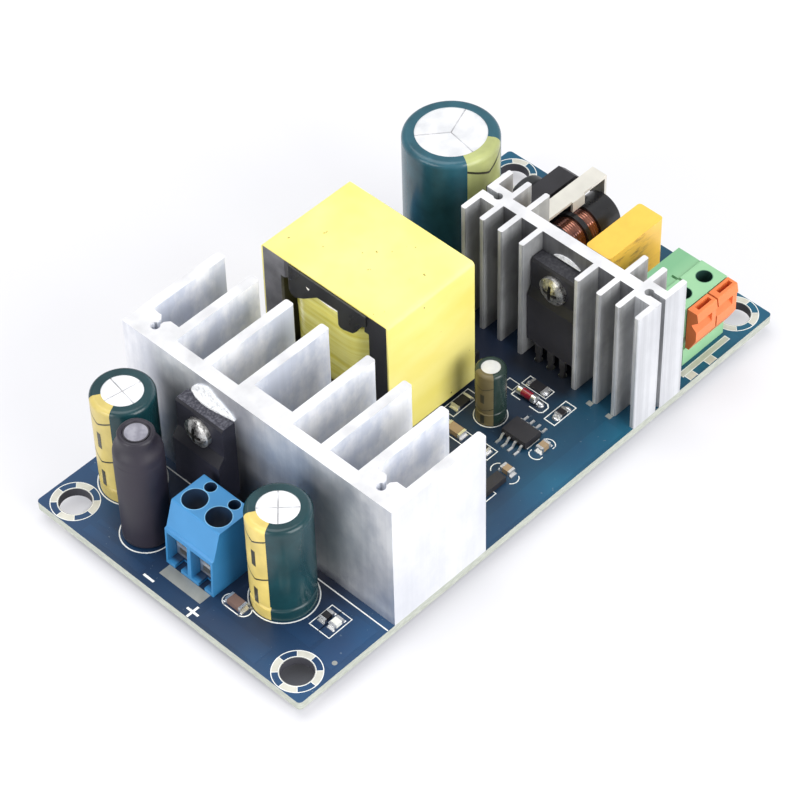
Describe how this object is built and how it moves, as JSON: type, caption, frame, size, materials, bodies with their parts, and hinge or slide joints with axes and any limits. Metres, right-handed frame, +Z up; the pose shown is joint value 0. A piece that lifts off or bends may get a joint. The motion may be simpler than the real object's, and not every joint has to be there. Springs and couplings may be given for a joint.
{
  "type": "open frame power supply",
  "caption": "Open frame switching power supply: mains input and low voltage output terminals on a board with a taped transformer, finned heatsinks, capacitors and a line filter.",
  "frame": {"origin": "centre of the board's underside, which is the centre of its mounting hole pattern", "axes": "+X along the board from the output end to the mains input end, +Y across it from the edge with the release levers to the far edge, +Z up from the board"},
  "size_m": [0.107, 0.0571, 0.0302],
  "materials": {
    "solder_mask": "satin blue solder mask over glass epoxy",
    "extruded_aluminium": "bare extruded, satin",
    "tinned_wire": "tinned, bright",
    "ferrite": "ground ferrite, matt grey",
    "bobbin_plastic": "moulded, satin black",
    "winding_tape": "glossy amber tape over the winding",
    "core_tape": "thin glossy yellow polyester tape",
    "copper_winding": "enamelled copper, glossy",
    "capacitor_can": "drawn can, satin",
    "teal_sleeve": "shrunk sleeve, glossy dark teal",
    "green_sleeve": "shrunk sleeve, glossy dark green",
    "brown_sleeve": "shrunk sleeve, glossy near black",
    "black_shrink": "heat shrink, satin black",
    "package_epoxy": "moulded epoxy, matt black",
    "heat_paste": "white heat paste, matt",
    "screw_steel": "nickel plated steel",
    "blue_housing": "moulded, satin blue",
    "contact_metal": "tin plated brass",
    "clamp_steel": "zinc plated steel",
    "green_housing": "moulded, satin pale green",
    "orange_lever": "moulded, glossy orange",
    "film_box": "moulded box, yellow orange",
    "strap_steel": "tin plated steel strip",
    "thermistor_coat": "dipped coating, matt black",
    "blue_coat": "dipped coating, glossy blue",
    "chip_resistor": "printed film, black",
    "chip_ceramic": "ceramic, tan",
    "red_glass": "glass, tinted red",
    "diode_epoxy": "moulded epoxy, grey brown",
    "led_lens": "milky lens",
    "solder": "solder, bright"
  },
  "bodies": {
    "frame": {"circuit_board": "solder_mask", "output_heatsink": "extruded_aluminium", "input_heatsink": "extruded_aluminium", "heatsink_pins": "tinned_wire", "transformer_core_upper": "ferrite", "transformer_core_lower": "ferrite", "transformer_bobbin": "bobbin_plastic", "transformer_winding": "winding_tape", "transformer_tape": "core_tape", "transformer_pins": "tinned_wire", "bulk_capacitor_can": "capacitor_can", "bulk_capacitor_sleeve": "teal_sleeve", "far_output_capacitor_can": "capacitor_can", "far_output_capacitor_sleeve": "green_sleeve", "near_output_capacitor_can": "capacitor_can", "near_output_capacitor_sleeve": "green_sleeve", "bias_capacitor_can": "capacitor_can", "bias_capacitor_sleeve": "brown_sleeve", "capacitor_leads": "tinned_wire", "choke_rod": "ferrite", "choke_winding": "copper_winding", "choke_sleeve": "black_shrink", "rectifier_body": "package_epoxy", "rectifier_leads": "tinned_wire", "rectifier_paste": "heat_paste", "rectifier_screw": "screw_steel", "transistor_body": "package_epoxy", "transistor_leads": "tinned_wire", "transistor_paste": "heat_paste", "transistor_screw": "screw_steel", "output_terminal_housing": "blue_housing", "output_contacts": "contact_metal", "input_terminal_housing": "green_housing", "input_contacts": "contact_metal", "input_springs": "clamp_steel", "film_capacitor": "film_box", "filter_rod": "ferrite", "filter_bobbin": "bobbin_plastic", "filter_windings": "copper_winding", "filter_strap": "strap_steel", "bridge_rectifier": "package_epoxy", "thermistor": "thermistor_coat", "input_fuse": "package_epoxy", "optocoupler": "package_epoxy", "safety_capacitor": "blue_coat", "component_leads": "tinned_wire", "control_chip": "package_epoxy", "chip_resistors": "chip_resistor", "chip_capacitors": "chip_ceramic", "glass_diode": "red_glass", "bias_diode": "diode_epoxy", "power_led": "led_lens", "solder_joints": "solder"},
    "lever_inner": {"input_lever_inner": "orange_lever"},
    "lever_outer": {"input_lever_outer": "orange_lever"},
    "screw_near": {"output_screw_near": "screw_steel"},
    "screw_far": {"output_screw_far": "screw_steel"},
    "clamp_near": {"output_clamp_near": "clamp_steel"},
    "clamp_far": {"output_clamp_far": "clamp_steel"}
  },
  "joints": [
    {"name": "lever_inner_press", "type": "hinge", "parent": "frame", "child": "lever_inner", "pos_m": [0.0375, -0.0261, 0.0095], "axis": [1, 0, 0], "range_deg": [0, 8], "stiffness_Nm_per_rad": 0.1, "springref_deg": -5.73},
    {"name": "lever_outer_press", "type": "hinge", "parent": "frame", "child": "lever_outer", "pos_m": [0.0425, -0.0261, 0.0095], "axis": [1, 0, 0], "range_deg": [0, 8], "stiffness_Nm_per_rad": 0.1, "springref_deg": -5.73},
    {"name": "screw_near_turn", "type": "hinge", "parent": "frame", "child": "screw_near", "pos_m": [-0.0436, -0.00254, 0.012], "axis": [0, 0, -1], "range_deg": [0, 860]},
    {"name": "screw_far_turn", "type": "hinge", "parent": "frame", "child": "screw_far", "pos_m": [-0.0436, 0.00254, 0.012], "axis": [0, 0, -1], "range_deg": [0, 860]},
    {"name": "clamp_near_lift", "type": "slide", "parent": "frame", "child": "clamp_near", "axis": [0, 0, 1], "range_m": [0, 0.00119]},
    {"name": "clamp_far_lift", "type": "slide", "parent": "frame", "child": "clamp_far", "axis": [0, 0, 1], "range_m": [0, 0.00119]}
  ],
  "couplings": [
    {"joint": "screw_near_turn", "follows": "clamp_near_lift", "rad_per_m": 12566},
    {"joint": "screw_far_turn", "follows": "clamp_far_lift", "rad_per_m": 12566}
  ]
}
